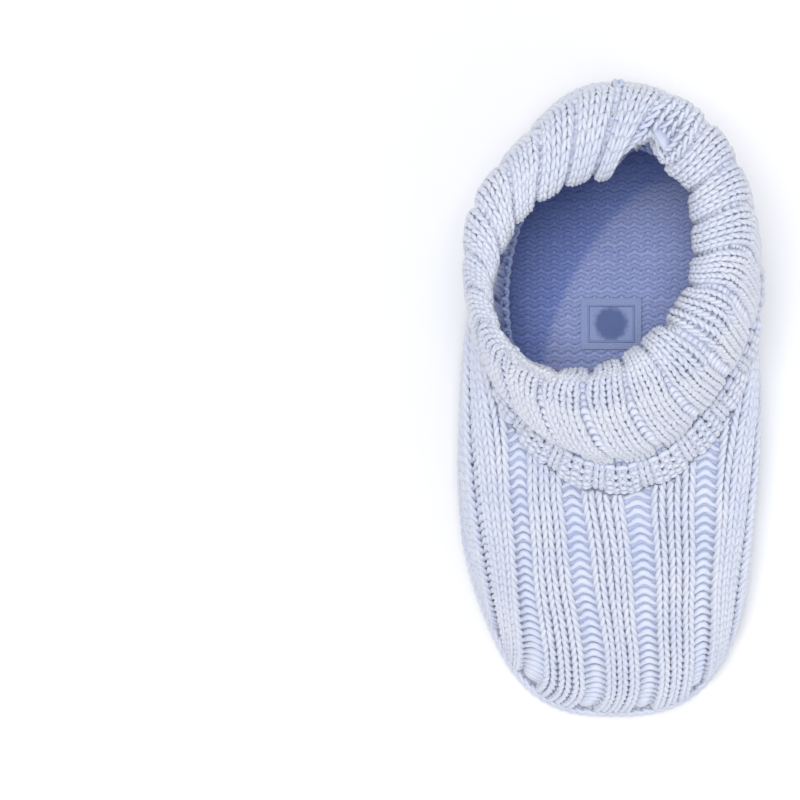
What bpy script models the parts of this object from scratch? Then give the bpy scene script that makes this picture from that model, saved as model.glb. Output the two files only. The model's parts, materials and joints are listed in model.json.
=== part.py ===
"""A knitted baby bootie: a rib-knit foot on a plain sole, a purl band at the ankle, and a doubled rib
cuff with elastic threads laid inside it. The toe points along -Y, and the sole rests on Z = 0."""

import math

import bmesh
import bpy
import numpy as np

# Lengths are in millimetres, and MM brings them to Blender's metres.
MM = 0.001
GAP = 0.3  # between neighbouring pieces
FABRIC = 1.8  # thickness of one layer of knitting

# The sole's edge is a superellipse, squarer at the toe, that narrows towards the heel.
SOLE_LENGTH = 97.0
TOE_SQUARENESS = 2.85
HEEL_SQUARENESS = 2.45
BALL_WIDTH = 44.6
HEEL_WIDTH = 40.0
HEEL_TAPER = (-0.35, 0.85)  # of half the sole's length, where the narrowing begins and ends
SOLE_THICKNESS = 2.0
SOLE_CENTRE_Y = -0.15
FOOT_SWAY = -1.4  # how far the foot bends to one side between the ball and the heel
SWAY_FRONT = (-40.0, -20.0)  # along Y, where it begins and is full
SWAY_BACK = (6.0, 30.0)

# The ankle ring is the ellipse where the foot ends and the cuff begins.
ANKLE = ((-1.0, 15.5), (20.9, 29.4))
ANKLE_HEIGHT = 33.5
ANKLE_SLOPE = 0.08  # rises towards the heel
BAND_HALF_HEIGHT = 3.0

# The ellipse of the cuff's outside at its top, and that of its mouth, which is turned. Both lean to
# one side, and the back of the rim leans over to the other.
RIM = ((-4.8, 22.6), (19.1, 20.8))
RIM_SLANT = 0.12  # sideways, for each millimetre back from RIM_SLANT_Y
RIM_SLANT_Y = 15.0
MOUTH_CENTRE = (-5.6, 18.6)
MOUTH_HALF_AXES = (15.4, 12.0)
MOUTH_TURN = 45.0  # degrees, of its long axis from straight back

# How the foot swells between the sole's edge and the ankle.
FOOT_BULGE = 3.0
FOOT_SHOULDER = 14.0
ANKLE_REACH = 0.5

# Going up the outside of the cuff, over its rim and down inside: the height above the ankle ring,
# the share of the way from the ankle's ellipse to the rim's, the share from the rim's to the mouth's,
# and the distance outwards from there.
CUFF_WALL = ((3.0, 0.1, 0, 0.5), (9.0, 0.35, 0, 1.5), (15.0, 0.62, 0, 2.0), (20.0, 0.85, 0, 1.8))
CUFF_RIM = ((20.0, 0.85, 0, 1.8), (23.5, 0.97, 0.14, 1.4), (25.2, 1, 0.5, 0.4), (23.8, 1, 0.86, 0), (20.4, 1, 1, 0))
CUFF_LINING = ((20.4, 1, 1, 0), (15.0, 0.75, 1, -0.9), (9.0, 0.45, 1, -2.7), (3.4, 0.2, 1, -3.9))

THREAD_RADIUS = 0.5
SEAM_DROP = 0.8  # of the sole's seam below the foot's edge
ELASTIC_RADIUS = 0.55
ELASTIC_PLACES = ((8.0, 0.35, 0.5, -1.0), (13.5, 0.62, 0.5, -0.2), (19.0, 0.9, 0.5, 0.3))

LABEL_SIZE = (9.5, 8.0, 0.5)
LABEL_CENTRE = (-0.6, 12.0)
LABEL_STITCH_INSET = 1.2
LABEL_STITCH_RADIUS = 0.2

AROUND = 48  # points around each ring of fabric
ROWS = 2  # between two stations of the cuff
FOOT_ROWS = 11
TURNS = np.linspace(0, 1, AROUND, endpoint=False)
THREAD_TURNS = np.linspace(0, 1, 36, endpoint=False)

YARN_BLUE = (0.60, 0.70, 0.90)
SEAM_BLUE = (0.52, 0.62, 0.86)
ELASTIC_WHITE = (0.85, 0.86, 0.88)
LABEL_WHITE = (0.72, 0.78, 0.90)


def clear_scene():
    for thing in list(bpy.data.objects):
        bpy.data.objects.remove(thing)


def material(name, colour, roughness):
    made = bpy.data.materials.new(name)
    made.use_nodes = True
    shader = made.node_tree.nodes["Principled BSDF"]
    shader.inputs["Base Color"].default_value = (*colour, 1)
    shader.inputs["Roughness"].default_value = roughness
    shader.inputs["Metallic"].default_value = 0
    return made


def show(name, data, look):
    thing = bpy.data.objects.new(name, data)
    thing.data.materials.append(look)
    bpy.context.scene.collection.objects.link(thing)
    return thing


def evenly(curve, turns):
    """Points of a closed curve at these shares of its length. curve takes shares of a full angle."""
    angles = np.linspace(0, 1, 1441)
    points = curve(angles)
    steps = np.linalg.norm(np.diff(points, axis=0), axis=1)
    along = np.concatenate([[0], np.cumsum(steps)])
    at = np.interp(np.asarray(turns) % 1.0 * along[-1], along, angles)
    return curve(at)


def power(value, exponent):
    return np.sign(value) * np.abs(value) ** exponent


def smooth(value, low, high):
    """0 up to low, 1 from high on, and smooth between."""
    t = np.clip((value - low) / (high - low), 0, 1)
    return t * t * (3 - 2 * t)


def sole_edge(shares):
    """The edge of the sole in plan, from the middle of the heel round by the toe."""
    angle = 2 * math.pi * np.asarray(shares)
    squareness = np.where(np.cos(angle) < 0, TOE_SQUARENESS, HEEL_SQUARENESS)
    y = power(np.cos(angle), 2 / squareness)
    half_width = BALL_WIDTH / 2 + (HEEL_WIDTH - BALL_WIDTH) / 2 * smooth(y, *HEEL_TAPER)
    along = SOLE_CENTRE_Y + y * SOLE_LENGTH / 2
    sway = FOOT_SWAY * smooth(along, *SWAY_FRONT) * (1 - smooth(along, *SWAY_BACK))
    x = half_width * power(np.sin(angle), 2 / squareness) + sway
    return np.stack([x, along], axis=-1)


def outward(plan):
    """The unit normal in plan at each point of a closed row, pointing away from the middle."""
    along = np.roll(plan, -1, axis=0) - np.roll(plan, 1, axis=0)
    normal = np.stack([along[:, 1], -along[:, 0]], axis=1)
    normal /= np.linalg.norm(normal, axis=1, keepdims=True)
    inwards = (normal * (plan - plan.mean(axis=0))).sum() < 0
    return -normal if inwards else normal


def mouth_radius(angle):
    """How far the edge of the mouth lies from its middle, in the direction at this angle."""
    turned = angle - math.radians(MOUTH_TURN)
    long, short = MOUTH_HALF_AXES
    return long * short / np.hypot(short * np.cos(turned), long * np.sin(turned))


def cuff_plan(up, over, out):
    """The cuff's plan this share of the way up from the ankle, and over from the rim to the mouth."""

    def curve(shares):
        angle = 2 * math.pi * np.asarray(shares)
        way = np.stack([np.sin(angle), np.cos(angle)], axis=-1)
        ankle = np.array(ANKLE[0]) + np.array(ANKLE[1]) * way
        rim = np.array(RIM[0]) + np.array(RIM[1]) * way
        rim[:, 0] += RIM_SLANT * (rim[:, 1] - RIM_SLANT_Y)
        mouth = np.array(MOUTH_CENTRE) + mouth_radius(angle)[:, None] * way
        return ankle * (1 - up) + (rim * (1 - over) + mouth * over) * up + out * way

    return curve


def cuff_ring(height, up, over, out, turns=TURNS):
    """Points round the cuff, at this height above the ankle ring's sloping plane."""
    plan = evenly(cuff_plan(up, over, out), turns)
    z = ANKLE_HEIGHT + height + ANKLE_SLOPE * (plan[:, 1] - ANKLE[0][1])
    return np.column_stack([plan, z])


def smooth_path(knots, steps):
    """A Catmull-Rom curve through the knots, with this many steps between each two."""
    knots = np.array(knots, float)
    padded = np.vstack([2 * knots[0] - knots[1], knots, 2 * knots[-1] - knots[-2]])
    found = []
    for i in range(len(knots) - 1):
        a, b, c, d = padded[i : i + 4]
        for t in np.linspace(0, 1, steps, endpoint=False):
            found.append(
                0.5 * (2 * b + (c - a) * t + (2 * a - 5 * b + 4 * c - d) * t**2 + (3 * b - a - 3 * c + d) * t**3)
            )
    return np.array([*found, knots[-1]])


def bezier(a, b, c, d, steps):
    t = np.linspace(0, 1, steps)[:, None, None]
    return (1 - t) ** 3 * a + 3 * (1 - t) ** 2 * t * b + 3 * (1 - t) * t**2 * c + t**3 * d


def foot_surface(rows):
    """The outside of the foot, as rows of points from the sole's edge up to the ankle ring."""
    edge = evenly(sole_edge, TURNS)
    normal = outward(edge)
    low = np.column_stack([edge, np.full(AROUND, SOLE_THICKNESS + GAP)])
    high = cuff_ring(-BAND_HALF_HEIGHT, 0, 0, 0)
    reach = low[:, :2] - high[:, :2]
    steepness = np.exp(-np.linalg.norm(reach, axis=1) / 10)
    shoulder = low + np.column_stack([normal * FOOT_BULGE, np.full(AROUND, FOOT_SHOULDER)])
    top = high + np.column_stack([reach * ANKLE_REACH, -2 - 5 * steepness])
    return bezier(low, shoulder, top, high, rows)


def grid_normals(grid):
    """Unit normals of a grid that closes on itself around, pointing away from its middle."""
    up = np.gradient(grid, axis=0)
    around = np.roll(grid, -1, axis=1) - np.roll(grid, 1, axis=1)
    normal = np.cross(around, up)
    return normal / np.linalg.norm(normal, axis=2, keepdims=True)


def solid_shell(name, outside, look, thickness=FABRIC, flat_ends=(0, -1)):
    """A closed layer of fabric: a grid of rows, closed around, and its copy on the inside of it. A row
    in flat_ends keeps its height, so that the edge there is level."""
    rows, around = outside.shape[:2]
    offset = -thickness * grid_normals(outside)
    for row in flat_ends:
        offset[row, :, 2] = 0
        offset[row] *= thickness / np.linalg.norm(offset[row], axis=1, keepdims=True)
    inside = outside + offset
    mesh = bmesh.new()
    layers = [[[mesh.verts.new(p * MM) for p in row] for row in layer] for layer in (outside, inside)]
    loop = [layers[0][r] for r in range(rows)] + [layers[1][r] for r in reversed(range(rows))]
    for a, b in zip(loop, loop[1:] + loop[:1], strict=True):
        for i in range(around):
            j = (i + 1) % around
            mesh.faces.new((a[i], a[j], b[j], b[i]))
    bmesh.ops.recalc_face_normals(mesh, faces=mesh.faces)
    data = bpy.data.meshes.new(name)
    mesh.to_mesh(data)
    mesh.free()
    data.shade_smooth()
    data.set_sharp_from_angle(angle=math.radians(50))
    return show(name, data, look)


def sole_panel(look):
    """A flat plate with its lower edge rolled under."""
    mesh = bmesh.new()
    edge = evenly(sole_edge, TURNS)
    normal = outward(edge)
    rings = []
    for inset, z in ((1.3, 0.0), (0.35, 0.35), (0.0, 1.0), (0.0, SOLE_THICKNESS)):
        plan = edge - normal * inset
        rings.append([mesh.verts.new((x * MM, y * MM, z * MM)) for x, y in plan])
    for a, b in zip(rings, rings[1:], strict=False):
        for i in range(AROUND):
            j = (i + 1) % AROUND
            mesh.faces.new((a[i], a[j], b[j], b[i]))
    mesh.faces.new(rings[0])
    mesh.faces.new(rings[-1])
    bmesh.ops.recalc_face_normals(mesh, faces=mesh.faces)
    data = bpy.data.meshes.new("sole_knit")
    mesh.to_mesh(data)
    mesh.free()
    return show("sole_knit", data, look)


def thread(name, points, radius, look, closed):
    """A round thread along these points."""
    curve = bpy.data.curves.new(name, "CURVE")
    curve.dimensions = "3D"
    curve.bevel_depth = radius * MM
    curve.bevel_resolution = 1
    curve.use_fill_caps = not closed
    spline = curve.splines.new("POLY")
    spline.points.add(len(points) - 1)
    spline.points.foreach_set("co", np.column_stack([points * MM, np.ones(len(points))]).ravel())
    spline.use_cyclic_u = closed
    return show(name, curve, look)


def foot(yarn, seam):
    surface = foot_surface(rows=FOOT_ROWS)
    solid_shell("foot_knit", surface, yarn)
    sole_panel(yarn)
    edge = evenly(sole_edge, TURNS)
    seam_plan = edge + outward(edge) * (GAP + THREAD_RADIUS + 0.1)
    seam_line = np.column_stack([seam_plan, np.full(AROUND, SOLE_THICKNESS - SEAM_DROP)])
    thread("sole_seam", seam_line, THREAD_RADIUS, seam, closed=True)
    back = surface[:, 0] + grid_normals(surface)[:, 0] * (GAP + THREAD_RADIUS)
    thread("heel_seam", back[1:-1], THREAD_RADIUS, seam, closed=False)


def ankle_band(yarn):
    """The purl band, which swells outwards a little between the foot and the cuff."""
    half = BAND_HALF_HEIGHT - GAP
    heights = np.linspace(-half, half, 5)
    swell = 0.9 * np.cos(heights / half * math.pi / 2)
    shares = np.interp(heights, (-half, half), (0, CUFF_WALL[0][1]))
    offsets = np.interp(heights, (-half, half), (0, CUFF_WALL[0][3])) + swell
    rows = [cuff_ring(h, s, 0, o) for h, s, o in zip(heights, shares, offsets, strict=True)]
    solid_shell("ankle_band", np.array(rows), yarn)


def cuff_layer(name, stations, look, trim=(0, 0)):
    """One part of the cuff's fabric along its stations. Each trim is the share of the first or last
    step that is left open, to keep clear of the next part."""
    path = smooth_path(stations, ROWS)
    path[0] += (path[1] - path[0]) * trim[0]
    path[-1] += (path[-2] - path[-1]) * trim[1]
    rows = np.array([cuff_ring(*station) for station in path])
    return solid_shell(name, rows, look), rows


def cuff(yarn, seam, elastic):
    _, wall = cuff_layer("cuff_outer", CUFF_WALL, yarn)
    cuff_layer("cuff_rim", CUFF_RIM, yarn, trim=(0.2, 0.15))
    cuff_layer("cuff_inner", CUFF_LINING, yarn, trim=(0.1, 0))
    back = wall[:, 0] + grid_normals(wall)[:, 0] * (GAP + THREAD_RADIUS)
    thread("cuff_seam", back[1:-1], THREAD_RADIUS, seam, closed=False)
    height, up, over, out = CUFF_LINING[-1]
    hem = cuff_ring(height - GAP - THREAD_RADIUS - 0.1, up, over, out + FABRIC / 2, THREAD_TURNS)
    thread("hem_seam", hem, THREAD_RADIUS, seam, closed=True)
    for number, place in enumerate(ELASTIC_PLACES, start=1):
        ring = cuff_ring(*place, THREAD_TURNS)
        thread(f"elastic_thread_{number}", ring, ELASTIC_RADIUS, elastic, closed=True)


def label(cloth, seam):
    """A blank woven label, sewn flat on the inside of the sole."""
    width, depth, thickness = LABEL_SIZE
    bottom = SOLE_THICKNESS + GAP
    bpy.ops.mesh.primitive_cube_add(size=1, location=(0, 0, 0))
    plate = bpy.context.object
    plate.name = "size_label"
    plate.data.name = "size_label"
    plate.data.transform(
        ((width * MM, 0, 0, 0), (0, depth * MM, 0, 0), (0, 0, thickness * MM, 0), (0, 0, 0, 1))
    )
    plate.location = (LABEL_CENTRE[0] * MM, LABEL_CENTRE[1] * MM, (bottom + thickness / 2) * MM)
    plate.data.materials.append(cloth)
    half = np.array([width, depth]) / 2 - LABEL_STITCH_INSET
    corners = np.array([(-1, -1), (1, -1), (1, 1), (-1, 1)]) * half + LABEL_CENTRE
    height = bottom + thickness + GAP + LABEL_STITCH_RADIUS
    points = np.column_stack([corners, np.full(4, height)])
    thread("label_stitching", points, LABEL_STITCH_RADIUS, seam, closed=True)


def main():
    clear_scene()
    yarn = material("pale_blue_yarn", YARN_BLUE, 0.85)
    seam = material("seam_thread", SEAM_BLUE, 0.8)
    elastic = material("covered_elastic", ELASTIC_WHITE, 0.7)
    cloth = material("woven_label", LABEL_WHITE, 0.55)
    foot(yarn, seam)
    ankle_band(yarn)
    cuff(yarn, seam, elastic)
    label(cloth, seam)


main()
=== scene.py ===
import json
import math

import bmesh
import bpy
import numpy as np
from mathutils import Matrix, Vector


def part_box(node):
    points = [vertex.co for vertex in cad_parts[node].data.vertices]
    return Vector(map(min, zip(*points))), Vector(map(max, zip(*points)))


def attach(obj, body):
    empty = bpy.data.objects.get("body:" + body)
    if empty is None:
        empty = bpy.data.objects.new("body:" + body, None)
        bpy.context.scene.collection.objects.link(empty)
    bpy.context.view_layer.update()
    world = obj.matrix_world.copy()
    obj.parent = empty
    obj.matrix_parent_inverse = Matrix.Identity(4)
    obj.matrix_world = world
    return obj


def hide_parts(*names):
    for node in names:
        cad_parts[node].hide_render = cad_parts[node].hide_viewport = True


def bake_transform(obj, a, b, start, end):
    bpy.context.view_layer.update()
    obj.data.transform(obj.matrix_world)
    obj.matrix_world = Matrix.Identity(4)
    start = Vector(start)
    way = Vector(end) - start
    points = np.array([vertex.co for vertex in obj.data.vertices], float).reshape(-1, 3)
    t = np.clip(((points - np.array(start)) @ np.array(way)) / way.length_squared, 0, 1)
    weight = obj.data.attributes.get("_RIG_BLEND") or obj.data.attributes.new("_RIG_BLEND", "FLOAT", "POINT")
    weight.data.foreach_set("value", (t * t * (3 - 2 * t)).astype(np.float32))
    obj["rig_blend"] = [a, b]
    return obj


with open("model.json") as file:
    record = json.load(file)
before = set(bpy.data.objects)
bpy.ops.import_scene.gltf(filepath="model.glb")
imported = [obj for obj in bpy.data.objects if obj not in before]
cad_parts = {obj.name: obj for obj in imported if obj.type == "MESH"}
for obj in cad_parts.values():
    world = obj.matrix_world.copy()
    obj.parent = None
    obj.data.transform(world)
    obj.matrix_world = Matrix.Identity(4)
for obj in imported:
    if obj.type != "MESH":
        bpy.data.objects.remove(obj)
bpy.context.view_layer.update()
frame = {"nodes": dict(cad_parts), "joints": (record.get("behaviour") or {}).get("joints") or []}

# Shapes are worked out in millimetres, and mm brings them to the scene's metres.
mm = 0.001
scene = bpy.context.scene
ankle = frame["joints"][0]["pos_m"]
bendStart = (ankle[0], ankle[1], ankle[2] - 0.010)
bendEnd = (ankle[0], ankle[1], ankle[2] + 0.012)
scene.view_settings.view_transform = "Standard"

soleBox = [np.array(c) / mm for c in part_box("sole_knit")]
footBox = [np.array(c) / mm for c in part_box("foot_knit")]


def smooth(value, low, high):
    t = np.clip((value - low) / (high - low), 0, 1)
    return t * t * (3 - 2 * t)


def power(value, exponent):
    return np.sign(value) * np.abs(value) ** exponent




class Wire:
    # One socket, so that sums on sockets read as sums.
    def __init__(self, shader, socket):
        self.shader, self.socket = shader, socket

    def maths(self, operation, a, b):
        return self.shader.node("ShaderNodeMath", {"operation": operation}, {0: a, 1: b})

    def __add__(self, other):
        return self.maths("ADD", self, other)

    __radd__ = __add__

    def __sub__(self, other):
        return self.maths("SUBTRACT", self, other)

    def __rsub__(self, other):
        return self.maths("SUBTRACT", other, self)

    def __mul__(self, other):
        return self.maths("MULTIPLY", self, other)

    __rmul__ = __mul__

    def __pow__(self, other):
        return self.maths("POWER", self, other)


class Shader:
    def __init__(self, name):
        self.material = bpy.data.materials.new(name)
        self.material.use_nodes = True
        self.tree = self.material.node_tree
        self.principled = self.tree.nodes["Principled BSDF"]

    def put(self, node, inputs):
        for key, value in inputs.items():
            if isinstance(value, Wire):
                self.tree.links.new(value.socket, node.inputs[key])
            else:
                node.inputs[key].default_value = value

    def node(self, kind, settings=None, inputs=None, output=0):
        made = self.tree.nodes.new(kind)
        for key, value in (settings or {}).items():
            if key == "stops":
                ramp = made.color_ramp
                while len(ramp.elements) < len(value):
                    ramp.elements.new(0.5)
                for element, (at, colour) in zip(ramp.elements, value, strict=True):
                    element.position, element.color = at, colour
            else:
                setattr(made, key, value)
        self.put(made, inputs or {})
        return Wire(self, made.outputs[output])

    def mixColour(self, share, a, b):
        made = self.tree.nodes.new("ShaderNodeMix")
        made.data_type = "RGBA"
        self.put(made, {0: share, 6: a, 7: b})
        return Wire(self, made.outputs[2])

    def softStep(self, value, low, high):
        settings = {"interpolation_type": "SMOOTHSTEP"}
        return self.node("ShaderNodeMapRange", settings, {0: value, 1: low, 2: high})

    def finish(self, **inputs):
        self.put(self.principled, {key.replace("_", " "): value for key, value in inputs.items()})
        return self.material


yarnLook = {
    "light": (0.70, 0.735, 0.85, 1),
    "deep": (0.61, 0.66, 0.82, 1),
    "roughness": 0.9,
    "sheen": 0.25,
}

# Every yarn has the same fine fibres. height is how far they stand out, in metres.
fibre = {"scale": 3800.0, "bump": 0.25, "height": 0.0002}


def yarnFibres(shader, place):
    # Fine noise, and the bump that it raises.
    noise = {"Vector": place, "Scale": fibre["scale"], "Detail": 2.0}
    fibres = shader.node("ShaderNodeTexNoise", {}, noise)
    raised = {"Strength": fibre["bump"], "Distance": fibre["height"], "Height": fibres}
    return fibres, shader.node("ShaderNodeBump", {}, raised)


def yarnMaterial(name, light, deep, roughness, sheen, shadeBelow=None):
    # Heather: soft patches of a deeper dye, with fine fibres across the strand. The optional painted shade
    # is the colour that the yarn deepens to lower down, and the heights between which it does.
    shader = Shader(name)
    place = shader.node("ShaderNodeTexCoord", output=3)
    patches = shader.node("ShaderNodeTexNoise", {}, {"Vector": place, "Scale": 160.0, "Detail": 3.0})
    fibres, height = yarnFibres(shader, place)
    share = shader.node("ShaderNodeMapRange", {}, {0: patches * 0.7 + fibres * 0.3, 1: 0.35, 2: 0.65})
    colour = shader.mixColour(share, deep, light)
    # Painted shade: the yarn darkens towards the bottom, where the inside of the bootie lies in shade.
    if shadeBelow:
        z = shader.node("ShaderNodeSeparateXYZ", {}, {0: place}, output=2)
        shadeColour, bottom, top = shadeBelow
        low = shader.softStep(z, top, bottom)
        colour = shader.mixColour(low, colour, shadeColour)
    return shader.finish(
        Base_Color=colour,
        Roughness=roughness,
        Normal=height,
        Sheen_Weight=sheen,
        Sheen_Roughness=0.5,
        Subsurface_Weight=0.4,
        Subsurface_Scale=0.0009,
        Subsurface_Radius=(0.9, 0.95, 1.0),
    )


# Painted shade inside the bootie: light is the pale oval of the insole where light falls, deep the painted
# shadow round it; middle, shape and turn place the oval.
insoleLook = {
    "light": (0.46, 0.53, 0.84, 1),
    "deep": (0.27, 0.37, 0.76, 1),
    "middle": (0.0012, 0.0150, 0.0),
    "shape": (0.0088, 0.0215),
    "turn": -27.0,
    "panel": (0.0215, 0.0480),
    "edge": (0.66, 0.70, 0.84, 1),
}


def insoleMaterial():
    # The sole panel's inner face is painted in shade: darker than the same yarn outside, and darker still
    # round a pale oval, the painted shadow of the rim falling inside the bootie. The panel's edge and
    # underside are as pale as the upper.
    shader = Shader("yarn of the sole panel")
    place = shader.node("ShaderNodeTexCoord", output=3)
    wide, long = insoleLook["shape"]
    centred = shader.node(
        "ShaderNodeMapping",
        {"vector_type": "TEXTURE"},
        {
            "Vector": place,
            "Location": insoleLook["middle"],
            "Rotation": (0.0, 0.0, math.radians(insoleLook["turn"])),
            "Scale": (wide, long, 1.0),
        },
    )
    flat = shader.node("ShaderNodeVectorMath", {"operation": "MULTIPLY"}, {0: centred, 1: (1, 1, 0)})
    reach = shader.node("ShaderNodeVectorMath", {"operation": "LENGTH"}, {0: flat}, output=1)
    # Painted shadow mask: 0 inside the pale oval, rising to 1 in the rim's shadow round it.
    edge = shader.softStep(reach, 0.92, 1.10)
    _, height = yarnFibres(shader, place)
    patches = shader.node("ShaderNodeTexNoise", {}, {"Vector": place, "Scale": 260.0, "Detail": 3.0})
    share = shader.node("ShaderNodeMapRange", {}, {0: edge * 0.85 + patches * 0.3, 1: 0.08, 2: 1.05})
    colour = shader.mixColour(share, insoleLook["light"], insoleLook["deep"])
    x, y, z = [shader.node("ShaderNodeSeparateXYZ", {}, {0: place}, output=i) for i in range(3)]
    wide, long = insoleLook["panel"]
    # How far out a place lies, 1 at the panel's edge, for a superellipse of exponent 2.6.
    out = ((x * (1 / wide)) ** 2) ** 1.3 + ((y * (1 / long)) ** 2) ** 1.3
    outer = shader.node("ShaderNodeMapRange", {}, {0: out, 1: 0.80, 2: 0.92})
    under = shader.node("ShaderNodeMapRange", {}, {0: z, 1: 0.0012, 2: 0.0008})
    colour = shader.mixColour(outer.maths("MAXIMUM", outer, under), colour, insoleLook["edge"])
    return shader.finish(
        Base_Color=colour,
        Roughness=0.9,
        Normal=height,
        Sheen_Weight=0.2,
        Sheen_Roughness=0.5,
    )


# Light colour, deep colour, roughness and sheen of the other yarns.
dyes = {
    # Painted light: a lighter copy of the pale yarn, for the cuff's wall.
    "yarn of the cuff's wall": ((0.74, 0.77, 0.87, 1), (0.66, 0.70, 0.84, 1), 0.9, 0.25),
    # Painted shade: a darker copy of the pale yarn, for the cores seen in the gaps between strands.
    "yarn in the depth of the knitting": ((0.56, 0.63, 0.84, 1), (0.50, 0.58, 0.82, 1), 0.95, 0.1),
    "seam yarn": ((0.64, 0.69, 0.84, 1), (0.54, 0.61, 0.81, 1), 0.9, 0.2),
    # Painted shade: as deep as the lining's shaded bottom, where the hem lies inside the bootie.
    "hem yarn": ((0.44, 0.52, 0.82, 1), (0.36, 0.45, 0.79, 1), 0.9, 0.1),
    "label stitching": ((0.40, 0.48, 0.79, 1), (0.33, 0.42, 0.75, 1), 0.8, 0.1),
    # Painted shade: a darker copy of the pale yarn, for the cuff's core seen in the gaps between strands.
    "yarn in the depth of the cuff": ((0.64, 0.69, 0.86, 1), (0.59, 0.65, 0.84, 1), 0.95, 0.1),
}
# Painted shade: the lining deepens to this colour towards its bottom, deep inside the bootie, between these
# heights, in metres.
liningShade = {"colour": (0.36, 0.46, 0.84, 1), "bottom": 0.0435, "top": 0.0530}

yarn = yarnMaterial("pale blue yarn", **yarnLook)
liningYarn = yarnMaterial("lining yarn", **yarnLook, shadeBelow=tuple(liningShade.values()))
insole = insoleMaterial()
dyed = [yarnMaterial(name, *dye) for name, dye in dyes.items()]
litWallYarn, shadedYarnInside, seamYarn, shadedHemYarn, labelThread, shadedCuffInside = dyed


def elasticMaterial():
    # White covering wound tightly round a rubber core.
    shader = Shader("covered elastic")
    place = shader.node("ShaderNodeTexCoord", output=3)
    wave = {"Vector": place, "Scale": 900.0, "Distortion": 1.5}
    winding = shader.node("ShaderNodeTexWave", {"bands_direction": "DIAGONAL"}, wave, output=1)
    colour = shader.mixColour(winding, (0.74, 0.76, 0.80, 1), (0.90, 0.91, 0.93, 1))
    height = shader.node("ShaderNodeBump", {}, {"Strength": 0.4, "Distance": 0.0002, "Height": winding})
    return shader.finish(Base_Color=colour, Roughness=0.7, Normal=height)


labelLook = {
    "cloth": (0.36, 0.44, 0.75, 1),
    "thread": (0.43, 0.51, 0.79, 1),
    "dot": (0.10, 0.16, 0.40, 1),
    "dotRadius": 2.5,
    "threads": 800.0,
}


def labelMaterial():
    # A plain woven tape, fine warp and weft threads, with a plain round dot woven in.
    shader = Shader("woven label")
    place = shader.node("ShaderNodeTexCoord", output=3)
    low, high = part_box("size_label")
    middle = [(a + b) / 2 for a, b in zip(low, high)]
    wave = {"Vector": place, "Scale": labelLook["threads"]}
    warp = shader.node("ShaderNodeTexWave", {"bands_direction": "X"}, wave, output=1)
    weft = shader.node("ShaderNodeTexWave", {"bands_direction": "Y"}, wave, output=1)
    weave = warp * 0.5 + weft * 0.5
    cloth = shader.mixColour(weave, labelLook["cloth"], labelLook["thread"])
    ragged = shader.node("ShaderNodeTexNoise", {}, {"Vector": place, "Scale": 1400.0, "Detail": 2.0})
    ends = {0: place, 1: middle}
    away = shader.node("ShaderNodeVectorMath", {"operation": "DISTANCE"}, ends, output=1)
    radius = labelLook["dotRadius"] * mm
    fade = {0: away + ragged * 0.0012, 1: radius + 0.0011, 2: radius + 0.0002}
    dot = shader.node("ShaderNodeMapRange", {}, fade)
    colour = shader.mixColour(dot * 0.85, cloth, labelLook["dot"])
    height = shader.node("ShaderNodeBump", {}, {"Strength": 0.5, "Distance": 0.0001, "Height": weave})
    return shader.finish(Base_Color=colour, Roughness=0.65, Normal=height)


elastic = elasticMaterial()
labelCloth = labelMaterial()
print("materials made")




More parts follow.
